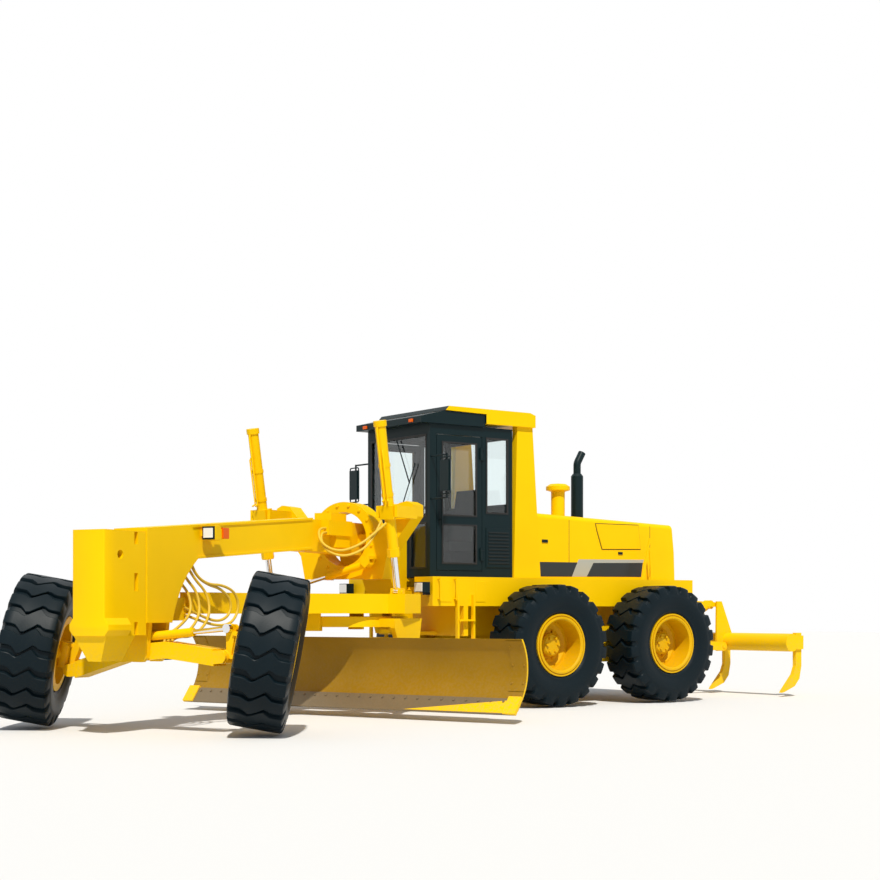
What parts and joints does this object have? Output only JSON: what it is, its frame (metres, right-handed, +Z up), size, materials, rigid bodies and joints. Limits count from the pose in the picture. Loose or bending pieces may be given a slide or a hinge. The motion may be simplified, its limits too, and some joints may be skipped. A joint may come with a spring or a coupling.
{
  "type": "motor grader",
  "caption": "Articulated six-wheel motor grader with tandem rear axle, leaning front wheels, centre blade on a turning circle, ROPS cab and rear ripper.",
  "frame": {"origin": "On the ground plane under the middle of the tandem, on the rear frame's centre line", "axes": "+X the way the rear frame drives forward, +Y its left side, +Z up"},
  "size_m": [12.1718, 5.7668, 3.83],
  "materials": {
    "yellow": "gloss",
    "dark": "satin",
    "glass": "gloss",
    "interior": "matte",
    "chrome": "gloss",
    "steel": "satin",
    "hose": "matte",
    "tyre": "matte"
  },
  "bodies": {
    "rear": {"rear_frame": "yellow", "tandem_axle": "yellow", "hood": "yellow", "engine": "dark", "stacks": "dark", "cab_shell": "dark", "cab_glass": "glass", "roof_visor": "dark", "rops": "yellow", "cab_interior": "interior", "mirrors": "dark", "work_lamps": "dark"},
    "front": {"front_frame": "yellow", "push_block": "yellow", "saddle": "yellow", "front_axle": "yellow", "headlamps": "dark", "valve_block": "yellow", "lift_hose": "hose"},
    "door_left": {"door_left": "dark", "door_glass_left": "glass"},
    "door_right": {"door_right": "dark", "door_glass_right": "glass"},
    "yoke_left": {"yoke_left": "yellow"},
    "yoke_right": {"yoke_right": "yellow"},
    "knuckle_left": {"knuckle_left": "yellow"},
    "knuckle_right": {"knuckle_right": "yellow"},
    "lean_bar": {"lean_bar": "yellow"},
    "tie_rod_end": {"tie_rod_end": "steel"},
    "tie_rod": {"tie_rod": "dark"},
    "lean_barrel": {"lean_barrel": "yellow"},
    "lean_rod": {"lean_rod": "chrome"},
    "drawbar": {"drawbar": "yellow"},
    "circle": {"circle": "yellow"},
    "blade_carrier": {"blade_carrier": "dark"},
    "blade": {"moldboard": "yellow", "cutting_edge": "yellow"},
    "lift_barrel_left": {"lift_barrel_left": "yellow"},
    "lift_barrel_right": {"lift_barrel_right": "yellow"},
    "lift_rod_left": {"lift_rod_left": "chrome"},
    "lift_rod_right": {"lift_rod_right": "chrome"},
    "shift_barrel": {"shift_barrel": "yellow"},
    "shift_rod": {"shift_rod": "chrome"},
    "ripper_arm": {"ripper_arm": "yellow"},
    "ripper_link": {"ripper_link": "dark"},
    "ripper_head": {"ripper_frame": "yellow"},
    "ripper_barrel": {"ripper_barrel": "dark"},
    "ripper_rod": {"ripper_rod": "chrome"},
    "wheel_rear_left_fore": {"tyre_rear_left_fore": "tyre", "rim_rear_left_fore": "yellow"},
    "wheel_rear_left_aft": {"tyre_rear_left_aft": "tyre", "rim_rear_left_aft": "yellow"},
    "wheel_rear_right_fore": {"tyre_rear_right_fore": "tyre", "rim_rear_right_fore": "yellow"},
    "wheel_rear_right_aft": {"tyre_rear_right_aft": "tyre", "rim_rear_right_aft": "yellow"},
    "wheel_front_left": {"tyre_front_left": "tyre", "rim_front_left": "yellow"},
    "wheel_front_right": {"tyre_front_right": "tyre", "rim_front_right": "yellow"}
  },
  "joints": [
    {"name": "articulation", "type": "hinge", "parent": "rear", "child": "front", "pos_m": [2.442, 0, 1.22], "axis": [0, 0, 1], "range_deg": [-50, 0]},
    {"name": "lean_left", "type": "hinge", "parent": "front", "child": "yoke_left", "pos_m": [6.71607, 3.0817, 0.76412], "axis": [0.9063, 0.4226, 0], "range_deg": [-1.1, 34.9]},
    {"name": "steer_left", "type": "hinge", "parent": "yoke_left", "child": "knuckle_left", "pos_m": [6.63808, 3.24893, 0.86268], "axis": [-0.0879, 0.1884, 0.9781], "range_deg": [-70, 10]},
    {"name": "lean_right", "type": "hinge", "parent": "front", "child": "yoke_right", "pos_m": [7.54137, 1.31182, 0.59676], "axis": [0.9063, 0.4226, 0], "range_deg": [-1.1, 34.9]},
    {"name": "steer_right", "type": "hinge", "parent": "yoke_right", "child": "knuckle_right", "pos_m": [7.59567, 1.19538, 0.76185], "axis": [-0.0879, 0.1884, 0.9781], "range_deg": [-70, 10]},
    {"name": "lean_bar_pin", "type": "hinge", "parent": "yoke_left", "child": "lean_bar", "pos_m": [6.69058, 3.13634, 1.04778], "axis": [0.9063, 0.4226, 0], "range_deg": [-34.9, 1.1]},
    {"name": "tie_rod_swivel", "type": "hinge", "parent": "knuckle_left", "child": "tie_rod_end", "pos_m": [6.49786, 3.01686, 0.77722], "axis": [-0.0879, 0.1884, 0.9781], "range_deg": [-10, 70]},
    {"name": "tie_rod_roll", "type": "hinge", "parent": "tie_rod_end", "child": "tie_rod", "pos_m": [6.49786, 3.01686, 0.77722], "axis": [0.9063, 0.4226, 0], "range_deg": [-30.35, 1.25]},
    {"name": "lean_barrel_pin", "type": "hinge", "parent": "front", "child": "lean_barrel", "pos_m": [7.34022, 1.88517, 0.91957], "axis": [0.9063, 0.4226, 0], "range_deg": [-0.212, 0.579]},
    {"name": "lean_rod_slide", "type": "slide", "parent": "lean_barrel", "child": "lean_rod", "axis": [-0.4209, 0.9026, 0.0907], "range_m": [-0.1748, 0.0065]},
    {"name": "drawbar_lift", "type": "hinge", "parent": "front", "child": "drawbar", "pos_m": [6.70165, 1.98631, 1.23], "axis": [-0.4226, 0.9063, 0], "range_deg": [-8, 5]},
    {"name": "lift_barrel_left_pin", "type": "hinge", "parent": "front", "child": "lift_barrel_left", "pos_m": [3.693, 1.57639, 2.39], "axis": [-0.4226, 0.9063, 0], "range_deg": [-3.82, 2.46]},
    {"name": "lift_rod_left_slide", "type": "slide", "parent": "lift_barrel_left", "child": "lift_rod_left", "axis": [-0.1867, -0.0871, -0.9785], "range_m": [-0.2686, 0.4292]},
    {"name": "lift_barrel_right_pin", "type": "hinge", "parent": "front", "child": "lift_barrel_right", "pos_m": [4.45371, -0.05496, 2.39], "axis": [-0.4226, 0.9063, 0], "range_deg": [-3.82, 2.46]},
    {"name": "lift_rod_right_slide", "type": "slide", "parent": "lift_barrel_right", "child": "lift_rod_right", "axis": [-0.1867, -0.0871, -0.9785], "range_m": [-0.2686, 0.4292]},
    {"name": "shift_barrel_pin", "type": "hinge", "parent": "front", "child": "shift_barrel", "pos_m": [3.62396, 1.01458, 1.79], "axis": [0.9063, 0.4226, 0], "range_deg": [-14.41, 22.93]},
    {"name": "shift_rod_slide", "type": "slide", "parent": "shift_barrel", "child": "shift_rod", "axis": [0.4085, -0.876, -0.2564], "range_m": [-0.0908, 0.1447]},
    {"name": "circle_turn", "type": "hinge", "parent": "drawbar", "child": "circle", "pos_m": [3.84678, 0.65506, 1.03], "axis": [0, 0, 1], "range_deg": [-40, 40]},
    {"name": "blade_pitch", "type": "hinge", "parent": "circle", "child": "blade_carrier", "pos_m": [4.02643, 0.71692, 0.33], "axis": [-0.3256, 0.9455, 0], "range_deg": [-10, 20]},
    {"name": "side_shift", "type": "slide", "parent": "blade_carrier", "child": "blade", "axis": [-0.3256, 0.9455, 0], "range_m": [-1.2, 0.2]},
    {"name": "door_left_hinge", "type": "hinge", "parent": "rear", "child": "door_left", "pos_m": [1.65, 0.713, 2.6], "axis": [0, 0, 1], "range_deg": [0, 80]},
    {"name": "door_right_hinge", "type": "hinge", "parent": "rear", "child": "door_right", "pos_m": [1.65, -0.713, 2.6], "axis": [0, 0, -1], "range_deg": [0, 80]},
    {"name": "wheel_rear_left_fore_spin", "type": "hinge", "parent": "rear", "child": "wheel_rear_left_fore", "pos_m": [0.985, 1.28, 0.78], "axis": [0, 1, 0], "continuous": true},
    {"name": "wheel_rear_left_aft_spin", "type": "hinge", "parent": "rear", "child": "wheel_rear_left_aft", "pos_m": [-0.985, 1.28, 0.78], "axis": [0, 1, 0], "continuous": true},
    {"name": "wheel_rear_right_fore_spin", "type": "hinge", "parent": "rear", "child": "wheel_rear_right_fore", "pos_m": [0.985, -1.28, 0.78], "axis": [0, 1, 0], "continuous": true},
    {"name": "wheel_rear_right_aft_spin", "type": "hinge", "parent": "rear", "child": "wheel_rear_right_aft", "pos_m": [-0.985, -1.28, 0.78], "axis": [0, 1, 0], "continuous": true},
    {"name": "wheel_front_left_spin", "type": "hinge", "parent": "knuckle_left", "child": "wheel_front_left", "pos_m": [6.41096, 3.40473, 0.81227], "axis": [-0.8112, 0.5564, -0.1801], "continuous": true},
    {"name": "wheel_front_right_spin", "type": "hinge", "parent": "knuckle_right", "child": "wheel_front_right", "pos_m": [7.82279, 1.03958, 0.81227], "axis": [-0.8112, 0.5564, -0.1801], "continuous": true},
    {"name": "ripper_arm_pin", "type": "hinge", "parent": "rear", "child": "ripper_arm", "pos_m": [-2.15, 0, 0.74], "axis": [0, 1, 0], "range_deg": [-15, 20]},
    {"name": "ripper_link_pin", "type": "hinge", "parent": "rear", "child": "ripper_link", "pos_m": [-2.15, 0, 1.36], "axis": [0, 1, 0], "range_deg": [-15, 20]},
    {"name": "ripper_head_pin", "type": "hinge", "parent": "ripper_arm", "child": "ripper_head", "pos_m": [-3.23, 0, 0.69], "axis": [0, 1, 0], "range_deg": [-20, 15]},
    {"name": "ripper_barrel_pin", "type": "hinge", "parent": "ripper_head", "child": "ripper_barrel", "pos_m": [-3.23, 0, 1.31], "axis": [0, 1, 0], "range_deg": [-12.4, 16.47]},
    {"name": "ripper_rod_slide", "type": "slide", "parent": "ripper_barrel", "child": "ripper_rod", "axis": [0.8944, 0, -0.4472], "range_m": [-0.1376, 0.1832]}
  ],
  "couplings": [
    {"joint": "lean_right", "follows": "lean_left", "ratio": 1},
    {"joint": "steer_right", "follows": "steer_left", "ratio": 1},
    {"joint": "lean_bar_pin", "follows": "lean_left", "ratio": -1},
    {"joint": "tie_rod_swivel", "follows": "steer_left", "ratio": -1},
    {"joint": "tie_rod_roll", "follows": "lean_left", "ratio": -0.861},
    {"joint": "lean_barrel_pin", "follows": "lean_left", "ratio": 0.010863},
    {"joint": "lean_rod_slide", "follows": "lean_left", "m_per_rad": -0.28537},
    {"joint": "lift_barrel_left_pin", "follows": "drawbar_lift", "ratio": 0.4525},
    {"joint": "lift_rod_left_slide", "follows": "drawbar_lift", "m_per_rad": -3.0668},
    {"joint": "lift_barrel_right_pin", "follows": "drawbar_lift", "ratio": 0.4525},
    {"joint": "lift_rod_right_slide", "follows": "drawbar_lift", "m_per_rad": -3.0668},
    {"joint": "shift_barrel_pin", "follows": "drawbar_lift", "ratio": -2.8415},
    {"joint": "shift_rod_slide", "follows": "drawbar_lift", "m_per_rad": -1.0295},
    {"joint": "ripper_link_pin", "follows": "ripper_arm_pin", "ratio": 1},
    {"joint": "ripper_head_pin", "follows": "ripper_arm_pin", "ratio": -1},
    {"joint": "ripper_barrel_pin", "follows": "ripper_arm_pin", "ratio": 0.81353},
    {"joint": "ripper_rod_slide", "follows": "ripper_arm_pin", "m_per_rad": 0.52186}
  ]
}
